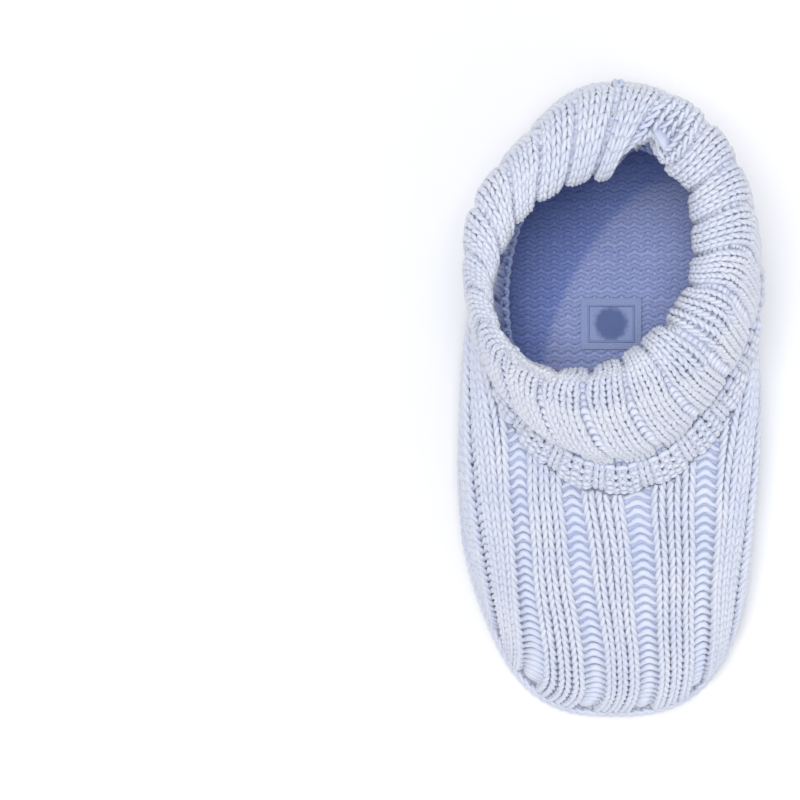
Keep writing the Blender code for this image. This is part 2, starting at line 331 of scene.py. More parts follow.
def knittingTree():
    tree = bpy.data.node_groups.new("lay the yarn on the cloth", "GeometryNodeTree")
    sockets = {}
    for name, kind in (
        ("Geometry", "NodeSocketGeometry"),
        ("Cloth", "NodeSocketObject"),
        ("Yarn radius", "NodeSocketFloat"),
        ("Sides", "NodeSocketInt"),
        ("Yarn", "NodeSocketMaterial"),
    ):
        sockets[name] = tree.interface.new_socket(name, in_out="INPUT", socket_type=kind).identifier
    tree.interface.new_socket("Geometry", in_out="OUTPUT", socket_type="NodeSocketGeometry")

    def node(kind, settings=None):
        made = tree.nodes.new(kind)
        for key, value in (settings or {}).items():
            setattr(made, key, value)
        return made

    def link(a, b):
        tree.links.new(a, b)

    given = node("NodeGroupInput")
    cloth = node("GeometryNodeObjectInfo", {"transform_space": "ORIGINAL"})
    link(given.outputs["Cloth"], cloth.inputs["Object"])
    flat = node("GeometryNodeInputPosition")
    split = node("ShaderNodeSeparateXYZ")
    link(flat.outputs[0], split.inputs[0])
    place = node("GeometryNodeInputNamedAttribute", {"data_type": "FLOAT_VECTOR"})
    place.inputs["Name"].default_value = "fabric"
    outward = node("GeometryNodeInputNamedAttribute", {"data_type": "FLOAT_VECTOR"})
    outward.inputs["Name"].default_value = "outward"
    found = []
    for value in (flat.outputs[0], outward.outputs[0]):
        sample = node("GeometryNodeSampleUVSurface", {"data_type": "FLOAT_VECTOR"})
        link(cloth.outputs["Geometry"], sample.inputs["Mesh"])
        link(value, sample.inputs["Value"])
        link(place.outputs[0], sample.inputs["Source UV Map"])
        link(flat.outputs[0], sample.inputs["Sample UV"])
        found.append(sample)
    lift = node("ShaderNodeVectorMath", {"operation": "SCALE"})
    link(found[1].outputs["Value"], lift.inputs[0])
    link(split.outputs["Z"], lift.inputs["Scale"])
    total = node("ShaderNodeVectorMath", {"operation": "ADD"})
    link(found[0].outputs["Value"], total.inputs[0])
    link(lift.outputs[0], total.inputs[1])
    # Sampling reads the flat place, so it is stored before any point moves.
    store = node("GeometryNodeStoreNamedAttribute", {"data_type": "FLOAT_VECTOR", "domain": "POINT"})
    store.inputs["Name"].default_value = "laid"
    link(given.outputs["Geometry"], store.inputs["Geometry"])
    link(total.outputs[0], store.inputs["Value"])
    off = node("FunctionNodeBooleanMath", {"operation": "NOT"})
    link(found[0].outputs["Is Valid"], off.inputs[0])
    trim = node("GeometryNodeDeleteGeometry", {"domain": "POINT"})
    link(store.outputs[0], trim.inputs["Geometry"])
    link(off.outputs[0], trim.inputs["Selection"])
    laid = node("GeometryNodeInputNamedAttribute", {"data_type": "FLOAT_VECTOR"})
    laid.inputs["Name"].default_value = "laid"
    move = node("GeometryNodeSetPosition")
    link(trim.outputs[0], move.inputs["Geometry"])
    link(laid.outputs[0], move.inputs["Position"])
    strands = node("GeometryNodeMeshToCurve")
    link(move.outputs[0], strands.inputs[0])
    ring = node("GeometryNodeCurvePrimitiveCircle", {"mode": "RADIUS"})
    link(given.outputs["Sides"], ring.inputs["Resolution"])
    link(given.outputs["Yarn radius"], ring.inputs["Radius"])
    thickness = node("GeometryNodeInputNamedAttribute", {"data_type": "FLOAT"})
    thickness.inputs["Name"].default_value = "thick"
    swell = node("GeometryNodeSetCurveRadius")
    link(strands.outputs[0], swell.inputs["Curve"])
    link(thickness.outputs[0], swell.inputs["Radius"])
    tube = node("GeometryNodeCurveToMesh")
    link(swell.outputs[0], tube.inputs["Curve"])
    if "Scale" in tube.inputs:
        link(thickness.outputs[0], tube.inputs["Scale"])
    link(ring.outputs[0], tube.inputs["Profile Curve"])
    tube.inputs["Fill Caps"].default_value = True
    smoothed = node("GeometryNodeSetShadeSmooth")
    link(tube.outputs[0], smoothed.inputs["Geometry"])
    real = node("GeometryNodeRealizeInstances")
    link(smoothed.outputs[0], real.inputs[0])
    dyed = node("GeometryNodeSetMaterial")
    link(real.outputs[0], dyed.inputs["Geometry"])
    link(given.outputs["Yarn"], dyed.inputs["Material"])
    out = node("NodeGroupOutput")
    link(dyed.outputs[0], out.inputs[0])
    return tree, sockets


knitting, knittingInputs = knittingTree()


def newObject(name, data):
    made = bpy.data.objects.new(name, data)
    scene.collection.objects.link(made)
    return made


def newSolid(name, mesh, look):
    bmesh.ops.recalc_face_normals(mesh, faces=mesh.faces)
    data = bpy.data.meshes.new(name)
    mesh.to_mesh(data)
    mesh.free()
    data.materials.append(look)
    return newObject(name, data)


def makeCloth(name, grid, flat, outward):
    # A sheet of quads in rows and columns, with its flat place and its outward direction on each point.
    rows, columns = grid.shape[:2]
    index = np.arange(rows * columns).reshape(rows, columns)
    corner = (index[:-1, :-1], index[:-1, 1:], index[1:, 1:], index[1:, :-1])
    quads = np.stack(corner, axis=-1).reshape(-1, 4)
    data = bpy.data.meshes.new(name)
    data.from_pydata((grid.reshape(-1, 3) * mm).tolist(), [], quads.tolist())
    place = data.attributes.new("fabric", "FLOAT_VECTOR", "CORNER")
    corners = np.zeros((len(data.loops), 3), np.float32)
    vertexOf = np.zeros(len(data.loops), np.int32)
    data.loops.foreach_get("vertex_index", vertexOf)
    corners[:, :2] = flat.reshape(-1, 2)[vertexOf] * mm
    place.data.foreach_set("vector", corners.ravel())
    way = data.attributes.new("outward", "FLOAT_VECTOR", "POINT")
    way.data.foreach_set("vector", outward.reshape(-1, 3).astype(np.float32).ravel())
    return newObject(name, data)


def gridNormals(grid):
    # Outward directions over rings of points, where the last point of a ring repeats its first.
    up = np.gradient(grid, axis=0)
    inner = grid[:, :-1]
    around = np.roll(inner, -1, axis=1) - np.roll(inner, 1, axis=1)
    around = np.concatenate([around, around[:, :1]], axis=1)
    normal = np.cross(around, up)
    normal /= np.linalg.norm(normal, axis=2, keepdims=True)
    inward = (normal[2] * (grid[2] - grid[2].mean(axis=0))).sum() < 0
    return -normal if inward else normal


# Depths below a piece's outer surface, in millimetres, and the thickness of the sheet behind it.
fabric = {"middle": 0.9, "core": 0.25}
stitch = {
    "points": 12,
    "loop": 5.3,  # in units of which a row takes rowUnits
    "rowUnits": 4.5,
    "lean": 1.35,
    "tilt": 0.17,
    "arc": 0.85,
    "arcThickness": 0.42,
    "uneven": 0.05,
    "seed": 11,
}
knit, purl, ladder = 1, -1, 0


def knitCourses(edges, kinds, rows, pitch, depth, relief, loopUnits=None, uneven=None):
    # Each row of stitches is one strand that runs through a loop for every wale. A knit stitch has its
    # legs in front, a purl stitch its head, and a ladder's bar crosses behind in one arc. relief lifts
    # the cloth by place, in millimetres.
    edges, kinds = np.asarray(edges, float), np.asarray(kinds, float)
    count = stitch["points"]
    turn = np.arange(count) / count * 2 * np.pi - np.pi
    wale = np.repeat(np.arange(len(kinds)), count)
    turns = np.tile(turn, len(kinds))
    width = (edges[1:] - edges[:-1])[wale]
    here = kinds[wale]
    crossing = here == ladder
    lean = np.where(crossing, 0, stitch["lean"])
    u = edges[:-1][wale] + width * ((turns + np.pi) + lean * np.sin(2 * turns)) / (2 * np.pi)
    front = np.where(here == purl, -1, 1)
    before = np.roll(kinds, 1)[wale]
    after = np.roll(kinds, -1)[wale]
    side = np.where(np.where(turns < 0, before, after) == purl, -1, 1)
    near = smooth(np.abs(turns), np.pi - 0.7, np.pi) * 0.5
    facing = front * (1 - near) + side * near
    # A leg's foot lies over the end of the leg below it.
    tilt = stitch["tilt"] * (here == knit)
    lift = -facing * depth * np.cos(2 * turns) - tilt * np.sin(2 * np.abs(turns))
    middle = np.cos(turns / 2) ** 2
    lift = np.where(crossing, -depth * (1 - 0.9 * middle), lift)
    loop = (loopUnits or stitch["loop"]) / stitch["rowUnits"] * pitch
    rise = np.where(crossing, -loop + stitch["arc"] * middle, loop * np.cos(turns))
    thick = np.where(crossing, 1 + stitch["arcThickness"] * middle, 1)
    chance = np.random.default_rng(stitch["seed"])
    strands = []
    for v in rows:
        slack = chance.normal(0, uneven or stitch["uneven"], (3, len(kinds)))[:, wale] * middle
        at = v + rise + slack[0]
        strands.append(np.stack([u + slack[1], at, lift + slack[2] + relief(u, at), thick], axis=1))
    return strands


def layYarn(name, cloth, strands, radius, look, sides=6):
    points = np.concatenate([s[:, :3] for s in strands]) * mm
    thick = np.concatenate([s[:, 3] if s.shape[1] > 3 else np.ones(len(s)) for s in strands])
    lengths = [len(s) for s in strands]
    starts = np.cumsum([0, *lengths[:-1]])
    firsts = np.concatenate([np.arange(s, s + n - 1) for s, n in zip(starts, lengths)])
    edges = np.stack([firsts, firsts + 1], axis=1)
    data = bpy.data.meshes.new(name + " courses")
    data.from_pydata(points.tolist(), edges.tolist(), [])
    data.attributes.new("thick", "FLOAT", "POINT").data.foreach_set("value", thick.astype(np.float32))
    made = newObject(name + " courses", data)
    modifier = made.modifiers.new("knit", "NODES")
    modifier.node_group = knitting
    values = {"Cloth": cloth, "Yarn radius": radius * mm, "Sides": sides, "Yarn": look}
    for key, value in values.items():
        modifier[knittingInputs[key]] = value
    graph = bpy.context.evaluated_depsgraph_get()
    mesh = bpy.data.meshes.new_from_object(made.evaluated_get(graph), depsgraph=graph)
    bpy.data.objects.remove(made)
    for attribute in [a.name for a in mesh.attributes if a.name in ("laid", "thick")]:
        mesh.attributes.remove(mesh.attributes[attribute])
    mesh.name = name
    piece = newObject(name, mesh)
    print(name, "has", len(mesh.polygons) * 2, "triangles")
    return piece


def backing(name, grid, outward, depth, look):
    # A thin closed ring behind the stitches, which stops light from passing straight through.
    grid, outward = grid[:, :-1], outward[:, :-1]
    half = fabric["core"] / 2
    layers = [grid + outward * (depth + half), grid + outward * (depth - half)]
    columns = grid.shape[1]
    mesh = bmesh.new()
    verts = [[[mesh.verts.new(p * mm) for p in row] for row in layer] for layer in layers]
    loop = verts[0] + verts[1][::-1]
    for a, b in zip(loop, loop[1:] + loop[:1], strict=True):
        for i in range(columns):
            j = (i + 1) % columns
            mesh.faces.new((a[i], a[j], b[j], b[i]))
    piece = newSolid(name, mesh, look)
    piece.data.shade_smooth()
    return piece


def repeatWales(start, wales, count):
    # The edges and kinds of the wales of a pattern that repeats, from its wales' (width, kind).
    edges, kinds = [start], []
    for width, kind in wales * count:
        edges.append(edges[-1] + width)
        kinds.append(kind)
    return np.array(edges), np.array(kinds)



foot = {
    "toeSquareness": 2.85,
    "heelSquareness": 2.45,
    "ballWidth": 44.6,
    "heelWidth": 40.0,
    "bulge": 3.0,
    "shoulder": 14.0,
    "reach": 0.5,
    "ribPeriod": 9.4,
    "knitWale": 2.07,
    "rowPitch": 1.43,
    "yarnRadius": 0.375,
    "stitchDepth": 0.5,
    "ribRelief": 0.26,
    "coreDepth": -1.65,
    "ribBend": 2.3,
    "heelCentre": 26.0,
    "toeTurn": -18.0,
    "toeHinge": 30.0,
    "sway": -1.4,
    "swayFront": (-40.0, -20.0),
    "swayBack": (6.0, 30.0),
    "swayTop": 30,
    "heelRadius": 24.5,
    "ribBendAt": (-5, -31),
    "sideFrom": (14, 23),  # how far out the top turns down into the side
    "sideTop": 26,
    "uprightFrom": (0, 14),
    "uprightRadius": 21,
    "uprightShift": 9,
    "ribs": 6,  # on each side of the middle one
    "plainBeyond": 34,  # how far from the middle the ladders end
}
ankleRing = {"centre": (-1.0, 15.5), "half": (20.9, 29.4), "slope": 0.08, "halfBand": 3.0}
rim = {"centre": (-4.8, 22.6), "half": (19.1, 20.8), "slant": 0.12, "slantFrom": 15.0}
mouth = {"centre": (-5.6, 18.6), "half": (15.4, 12.0), "turn": 45.0}
ankleHeight = ankle[2] / mm
soleTop = footBox[0][2]


def evenly(curve, turns):
    angles = np.linspace(0, 1, 1441)
    points = curve(angles)
    along = np.concatenate([[0], np.cumsum(np.linalg.norm(np.diff(points, axis=0), axis=1))])
    at = np.interp(np.clip(turns, 0, 1) * along[-1], along, angles)
    return curve(at)


def footSway(y):
    # The foot bends to one side between the ball and the heel.
    return foot["sway"] * smooth(y, *foot["swayFront"]) * (1 - smooth(y, *foot["swayBack"]))


def soleEdge(shares):
    angle = 2 * math.pi * np.asarray(shares)
    squareness = np.where(np.cos(angle) < 0, foot["toeSquareness"], foot["heelSquareness"])
    y = power(np.cos(angle), 2 / squareness)
    heel = smooth(y, -0.35, 0.85)
    halfWidth = foot["ballWidth"] / 2 + (foot["heelWidth"] - foot["ballWidth"]) / 2 * heel
    middle = (soleBox[0][1] + soleBox[1][1]) / 2
    length = soleBox[1][1] - soleBox[0][1]
    along = middle + y * length / 2
    across = halfWidth * power(np.sin(angle), 2 / squareness) + footSway(along)
    return np.stack([across, along], axis=-1)


def outwardOf(plan):
    along = np.gradient(plan, axis=0)
    along[0] = along[-1] = plan[1] - plan[-2]
    normal = np.stack([along[:, 1], -along[:, 0]], axis=1)
    normal /= np.linalg.norm(normal, axis=1, keepdims=True)
    return -normal if (normal * (plan - plan.mean(axis=0))).sum() < 0 else normal


def cuffPlan(up, over, out):
    # The cuff's plan this share of the way up from the ankle, and over from the rim to the mouth.
    def curve(shares):
        angle = 2 * math.pi * np.asarray(shares)
        way = np.stack([np.sin(angle), np.cos(angle)], axis=-1)
        low = np.array(ankleRing["centre"]) + np.array(ankleRing["half"]) * way
        high = np.array(rim["centre"]) + np.array(rim["half"]) * way
        high[:, 0] += rim["slant"] * (high[:, 1] - rim["slantFrom"])
        turned = angle - math.radians(mouth["turn"])
        longHalf, shortHalf = mouth["half"]
        radius = longHalf * shortHalf / np.hypot(shortHalf * np.cos(turned), longHalf * np.sin(turned))
        inner = np.array(mouth["centre"]) + radius[:, None] * way
        return low * (1 - up) + (high * (1 - over) + inner * over) * up + out * way

    return curve


def cuffRing(height, up, over, out, turns):
    plan = evenly(cuffPlan(up, over, out), turns)
    z = ankleHeight + height + ankleRing["slope"] * (plan[:, 1] - ankleRing["centre"][1])
    return np.column_stack([plan, z])


def footGrid(rows, columns):
    turns = np.linspace(0, 1, columns)
    edge = evenly(soleEdge, turns)
    normal = outwardOf(edge)
    low = np.column_stack([edge, np.full(columns, soleTop)])
    high = cuffRing(-ankleRing["halfBand"], 0, 0, 0, turns)
    reach = low[:, :2] - high[:, :2]
    steep = np.exp(-np.linalg.norm(reach, axis=1) / 10)
    shoulder = low + np.column_stack([normal * foot["bulge"], np.full(columns, foot["shoulder"])])
    top = high + np.column_stack([reach * foot["reach"], -2 - 5 * steep])
    t = np.linspace(0, 1, rows)[:, None, None]
    return (1 - t) ** 3 * low + 3 * (1 - t) ** 2 * t * shoulder + 3 * (1 - t) * t**2 * top + t**3 * high


def footAcross(points):
    # How far a place lies from the middle of the upper, before it is brought to true lengths.
    x, y, z = points[..., 0], points[..., 1], points[..., 2]
    back = np.clip(y - foot["heelCentre"], 0, None)
    r = np.hypot(x, back)
    # Beside the ankle and round the heel the upper stands straight up, so its height alone tells.
    upright = smooth(y, *foot["uprightFrom"])
    r = r + (foot["uprightRadius"] - r) * 0.8 * upright
    inner, outer = foot["sideFrom"]
    shift = foot["uprightShift"] * upright
    return r + smooth(r, inner - shift, outer - shift) * (foot["sideTop"] - z)


def footPlaces(grid):
    # The flat place of every point: across the ribs, and along them from the toe to the heel.
    columns = grid.shape[1]
    grid = grid.copy()
    grid[..., 0] -= grid[:, columns // 2, 0][:, None]
    grid[..., 0] -= footSway(grid[..., 1]) * np.clip(1 - grid[..., 2] / foot["swayTop"], 0, 1)
    centre = grid[:, columns // 2]
    turn, hinge = foot["toeTurn"], foot["toeHinge"]
    lean = np.arctan2(turn - centre[:, 1], centre[:, 2] + hinge)
    lengths = np.concatenate([[0], np.cumsum(np.linalg.norm(np.diff(centre, axis=0), axis=1))])
    order = np.argsort(lean)
    atTurn = np.interp(0, lean[order], lengths[order])
    section = []
    for column in grid[:, columns // 2 : columns * 7 // 8].transpose(1, 0, 2):
        y = column[:, 1]
        if y[0] < turn < y[-1]:
            section.append([np.interp(turn, y, column[:, k]) for k in range(3)])
    section = np.array(section)
    arc = np.concatenate([[0], np.cumsum(np.linalg.norm(np.diff(section, axis=0), axis=1))])
    raw = footAcross(section)
    keep = np.maximum.accumulate(raw) <= raw
    across = np.interp(footAcross(grid), raw[keep], arc[keep])
    beyond = footAcross(grid) - raw[keep][-1]
    across = across + np.clip(beyond, 0, None)
    share = np.linspace(-1, 1, columns)[None, :]
    x, y, z = grid[..., 0], grid[..., 1], grid[..., 2]
    across = across * np.where(share < 0, 1, -1) * np.sign(grid[0, columns // 4, 0])
    angle = np.arctan2(turn - y, z + hinge)
    front = -(atTurn - np.interp(angle, lean[order], lengths[order]))
    back = np.clip(y - foot["heelCentre"], 0, None)
    around = np.arctan2(back, np.abs(x) + 1e-6) * foot["heelRadius"]
    along = np.where(y < turn, front, np.clip(y, None, foot["heelCentre"]) - turn + around)
    # The ribs lean over a little towards the toe, and spread again at the ankle.
    bendX, bendY = foot["ribBendAt"]
    leaning = np.clip((bendY - y) / 16, -1, 1) * np.exp(-(((x - bendX) / 11) ** 2)) * smooth(z, 6, 16)
    across = across - foot["ribBend"] * leaning
    # The rows and ribs waver by about a tenth of a millimetre.
    across = across + 0.10 * np.sin(0.33 * along + 1.3 * np.sin(0.21 * across))
    along = along + 0.12 * np.sin(0.29 * across + 1.1 * np.sin(0.17 * along))
    return np.stack([across, along], axis=-1)


surface = footGrid(61, 241)
surfaceOut = gridNormals(surface)
footMiddle = surface - surfaceOut * fabric["middle"]
places = footPlaces(surface)
footCloth = makeCloth("foot cloth", footMiddle, places, surfaceOut)


def footRelief(u, v):
    distance = np.abs((np.abs(u) + foot["ribPeriod"] / 2) % foot["ribPeriod"] - foot["ribPeriod"] / 2)
    fade = 1 - 0.75 * smooth(np.abs(u), 27, 36)
    # distance is 0 in the middle of a rib, and largest in the middle of a ladder.
    return foot["ribRelief"] * fade * (0.35 - 1.35 * smooth(distance, 2.6, 4.7))


plain = foot["knitWale"]
halfRibs = foot["ribs"]
footRib = [(plain, knit)] * 3 + [(foot["ribPeriod"] - 3 * plain, ladder)]
edges, kinds = repeatWales(-1.5 * plain - halfRibs * foot["ribPeriod"], footRib, 2 * halfRibs + 1)
middles = (edges[1:] + edges[:-1]) / 2
kinds = np.where(np.abs(middles) > foot["plainBeyond"], knit, kinds)
lowest, highest = places[..., 1].min(), places[..., 1].max()
frontRows = np.arange(0, lowest - foot["rowPitch"], -foot["rowPitch"])
backRows = np.arange(foot["rowPitch"], highest + foot["rowPitch"], foot["rowPitch"])
footFront = layYarn(
    "vamp_knitting",
    footCloth,
    knitCourses(edges, kinds, frontRows, -foot["rowPitch"], foot["stitchDepth"], footRelief),
    foot["yarnRadius"],
    yarn,
)
footBack = layYarn(
    "heel_knitting",
    footCloth,
    knitCourses(edges, kinds, backRows, -foot["rowPitch"], foot["stitchDepth"], footRelief),
    foot["yarnRadius"],
    yarn,
)
footCore = backing("foot_core", surface[::2, ::2], surfaceOut[::2, ::2], foot["coreDepth"], shadedYarnInside)
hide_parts("foot_knit")
for piece in (footFront, footBack, footCore):
    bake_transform(piece, "foot", "cuff", bendStart, bendEnd)
bpy.data.objects.remove(footCloth)
print("foot knitted")


cuff = {
    "wall": ((3.0, 0.1, 0, 0.5), (9.0, 0.35, 0, 1.5), (15.0, 0.62, 0, 2.0), (20.0, 0.85, 0, 1.8)),
    "rim": ((23.5, 0.97, 0.14, 1.4), (25.2, 1, 0.5, 0.4), (23.8, 1, 0.86, 0), (20.4, 1, 1, 0)),
    "lining": ((15.0, 0.75, 1, -0.9), (9.0, 0.45, 1, -2.7), (3.4, 0.2, 1, -3.9)),
    "ribs": 20,
    "ribPeriod": 7.2,
    "wallWale": 1.82,
    "rimWale": 2.08,
    "rowPitch": 1.38,
    "yarnRadius": 0.345,
    "stitchDepth": 0.42,
    "wallRadius": 0.385,
    "wallDepth": 0.33,
    "loop": 4.4,
    "uneven": 0.085,
    "coreDepth": -1.6,
    "puff": 0.52,
    "frontIn": 2.6,
    "twist": 2.6,
    "foldShare": 0.066,  # of the way round the cuff from the middle of its back, as is foldWidth
    "foldWidth": 0.023,
    "foldDepth": 6.0,
    "foldShoulder": 0.7,
    "foldSlope": 2.2,
    "hollowShare": 0.72,
    "hollowWidth": 0.14,
    "hollowDepth": 0.9,
    "rolls": ((0.55, 3, 0.6), (0.4, 5, 2.1), (0.3, 7, 4.0)),  # size, waves round the cuff, phase
    "firstRow": 0.7,
    "rimRows": (14, 25),
}


def smoothPath(knots, steps):
    knots = np.array(knots, float)
    padded = np.vstack([2 * knots[0] - knots[1], knots, 2 * knots[-1] - knots[-2]])
    found = []
    for i in range(len(knots) - 1):
        a, b, c, d = padded[i : i + 4]
        for t in np.linspace(0, 1, steps, endpoint=False):
            square, cube = 2 * a - 5 * b + 4 * c - d, 3 * b - a - 3 * c + d
            found.append(0.5 * (2 * b + (c - a) * t + square * t**2 + cube * t**3))
    return np.array([*found, knots[-1]])


def nearShare(shares, at, width):
    # A smooth hump round the cuff, centred on this share of the way round.
    away = np.abs((shares - at + 0.5) % 1.0 - 0.5)
    return np.exp(-((away / width) ** 2))


def frontShare(shares):
    # 1 over the front of the ankle, and 0 at its sides and back.
    return smooth(-np.cos(2 * np.pi * np.asarray(shares)), 0.0, 0.85)


def cuffGrid(columns):
    path = smoothPath(cuff["wall"] + cuff["rim"] + cuff["lining"], 8)
    turns = np.linspace(0, 1, columns)
    grid = np.array([cuffRing(*station, turns) for station in path])
    outward = gridNormals(grid)
    steps = np.linalg.norm(np.diff(grid, axis=0), axis=2).mean(axis=1)
    along = np.concatenate([[0], np.cumsum(steps)])
    # The soft cuff rolls unevenly, and one deep fold runs down into it at the back.
    around = 2 * np.pi * turns[None, :]
    high = smooth(along, 6, 24)[:, None]
    uneven = sum(size * np.sin(waves * around + phase) for size, waves, phase in cuff["rolls"])
    rimShare = (smooth(along, 20, 27) * (1 - smooth(along, 40, 50)))[:, None]
    fold = nearShare(turns, cuff["foldShare"], cuff["foldWidth"])[None, :]
    shoulder = nearShare(turns, cuff["foldShare"] - 0.05, 0.03)[None, :]
    slope = nearShare(turns, cuff["foldShare"] + 0.06, 0.045)[None, :]
    inner = smooth(along, 27, 34)[:, None]
    hollow = nearShare(turns, cuff["hollowShare"], cuff["hollowWidth"])[None, :]
    uneven = uneven * (1 - 0.8 * inner) - cuff["hollowDepth"] * hollow * inner
    low = (1 - smooth(along, 1, 11))[:, None] * frontShare(turns)[None, :]
    folded = cuff["foldShoulder"] * shoulder - cuff["foldDepth"] * fold
    folded = folded - cuff["foldSlope"] * slope * inner
    push = high * uneven - cuff["frontIn"] * low + rimShare * folded
    grid = grid + outward * push[..., None]
    turned = gridNormals(grid)
    outward = turned * np.sign((turned * outward).sum(axis=2))[..., None]
    return grid, outward, along


cuffSurface, cuffOut, cuffAlong = cuffGrid(361)
cuffTotal = cuff["ribs"] * cuff["ribPeriod"]
shares = np.linspace(0, 1, cuffSurface.shape[1])
slip = 0.9 * np.sin(2 * np.pi * shares * 4 + 1.0) + 0.7 * np.sin(2 * np.pi * shares * 7)
slip = slip[None, :] * smooth(cuffAlong, 8, 34)[:, None] * (shares * (1 - shares) * 4)[None, :] ** 0.3
cuffPlaces = np.stack(
    [
        cuffTotal * shares[None, :] + slip,
        np.repeat(cuffAlong[:, None], len(shares), axis=1),
    ],
    axis=-1,
)
cuffPlaces[..., 0] -= cuff["twist"] * smooth(cuffAlong, 1, 20)[:, None] * frontShare(shares)[None, :]
cuffPlaces[:, 0, 0], cuffPlaces[:, -1, 0] = -0.01, cuffTotal + 0.01
cuffCloth = makeCloth("cuff cloth", cuffSurface - cuffOut * fabric["middle"], cuffPlaces, cuffOut)


def cuffRelief(u, v):
    period = cuff["ribPeriod"]
    distance = np.abs((u + period / 2 - period * 3 / 8) % period - period / 2)
    puff = cuff["puff"] * (0.35 + 0.65 * smooth(v, 8, 22))
    return puff * (0.25 - 1.25 * smooth(distance, 1.6, period / 2))


def cuffPiece(name, first, last, look, wale, depth, radius):
    # Where the cuff is stretched the ladders open, and over the rim the ribs close over them.
    rib = [(wale, knit)] * 3 + [(cuff["ribPeriod"] - 3 * wale, ladder)]
    edges, kinds = repeatWales(1.5 * (cuff["wallWale"] - wale), rib, cuff["ribs"])
    pitch = cuff["rowPitch"]
    rows = np.arange(first, last, pitch)
    strands = knitCourses(edges, kinds, rows, pitch, depth, cuffRelief, cuff["loop"], cuff["uneven"])
    return layYarn(name, cuffCloth, strands, radius, look, sides=5)


wallKnit = (cuff["wallWale"], cuff["wallDepth"], cuff["wallRadius"])
rimKnit = (cuff["rimWale"], cuff["stitchDepth"], cuff["yarnRadius"])
top = cuffAlong[-1]
rimFrom, rimTo = [cuff["rowPitch"] * rows for rows in cuff["rimRows"]]
first = cuff["firstRow"]
cuffWall = cuffPiece("cuff_wall_knitting", first, rimFrom, litWallYarn, *wallKnit)
cuffRim = cuffPiece("cuff_rim_knitting", first + rimFrom, rimTo, yarn, *rimKnit)
cuffLining = cuffPiece("cuff_lining_knitting", first + rimTo, top, liningYarn, *rimKnit)
cuffCore = backing("cuff_core", cuffSurface[::2, ::3], cuffOut[::2, ::3], cuff["coreDepth"], shadedCuffInside)
for piece, node in ((cuffWall, "cuff_outer"), (cuffRim, "cuff_rim"), (cuffLining, "cuff_inner")):
    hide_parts(node)
for piece in (cuffWall, cuffRim, cuffLining, cuffCore):
    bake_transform(piece, "foot", "cuff", bendStart, bendEnd)
bpy.data.objects.remove(cuffCloth)
print("cuff knitted")


band = {
    "heights": (-3.4, 3.6),
    "swell": 1.0,
    "rowPitch": 1.36,
    "yarnRadius": 0.38,
    "stitchDepth": 0.46,
    "blockRelief": 0.5,
    "coreDepth": -1.7,
    "facingDepth": -2.4,
    "facingHeights": (-5.2, -3.8, -2.4, -1.0),
}


def bandGrid(columns):
    turns = np.linspace(0, 1, columns)
    heights = np.linspace(*band["heights"], 17)
    rows = []
    for height in heights:
        share = (height + 3) / 6
        out = 0.5 * share + band["swell"] * math.cos(height / 3 * math.pi / 2 * 0.85)
        ring = cuffRing(height, 0.1 * share, 0, out, turns)
        inward = frontShare(turns) * cuff["frontIn"] * smooth(height, -3.0, 4.4)
        ring[:, :2] -= outwardOf(ring[:, :2]) * inward[:, None]
        rows.append(ring)
    grid = np.array(rows)
    return grid, gridNormals(grid)


bandSurface, bandOut = bandGrid(241)
bandSteps = np.linalg.norm(np.diff(bandSurface, axis=0), axis=2).mean(axis=1)
bandAlong = np.concatenate([[0], np.cumsum(bandSteps)])
bandPlaces = np.stack(
    np.meshgrid(np.linspace(-0.01, cuffTotal + 0.01, bandSurface.shape[1]), bandAlong), axis=-1
)
bandCloth = makeCloth("band cloth", bandSurface - bandOut * fabric["middle"], bandPlaces, bandOut)


def bandRelief(u, v):
    period = cuff["ribPeriod"]
    distance = np.abs((u + period / 2 - period * 3 / 8) % period - period / 2)
    return band["blockRelief"] * (smooth(distance, 0.4, 1.6) - 0.6)


quarter = cuff["ribPeriod"] / 4
narrow, broad = quarter * 0.96, quarter * 1.12
bandWales = [(narrow, purl), (narrow, knit), (narrow, purl), (broad, purl)]
bandEdges, bandKinds = repeatWales(0, bandWales, cuff["ribs"])
bandRows = np.arange(0.5, bandAlong[-1], band["rowPitch"])
pitch, depth = band["rowPitch"], band["stitchDepth"]
bandStrands = knitCourses(bandEdges, bandKinds, bandRows, pitch, depth, bandRelief)
bandKnit = layYarn("ankle_band_knitting", bandCloth, bandStrands, band["yarnRadius"], yarn)
bandGrids = bandSurface[::2, ::2], bandOut[::2, ::2]
bandCore = backing("ankle_band_core", *bandGrids, band["coreDepth"], shadedYarnInside)
# A facing inside the ankle closes the join between the foot's top edge and the band.
facingTurns = np.linspace(0, 1, 121)
facingRings = np.array([cuffRing(height, 0, 0, 0, facingTurns) for height in band["facingHeights"]])
facingOut = np.zeros_like(facingRings)
facingOut[..., :2] = outwardOf(facingRings[0, :, :2])
facing = backing("ankle_facing", facingRings, facingOut, band["facingDepth"], shadedYarnInside)
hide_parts("ankle_band")
for piece in (bandKnit, bandCore, facing):
    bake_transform(piece, "foot", "cuff", bendStart, bendEnd)
bpy.data.objects.remove(bandCloth)
print("ankle band knitted")


sole = {
    "wale": 2.1,
    "wales": 22,
    "rowPitch": 1.45,
    "yarnRadius": 0.42,
    "stitchDepth": 0.5,
    "middle": 1.02,
    "coreThickness": 0.3,
    "coreShare": 0.985,
    "edgeGap": 0.4,
    "fewestPoints": 12,
}


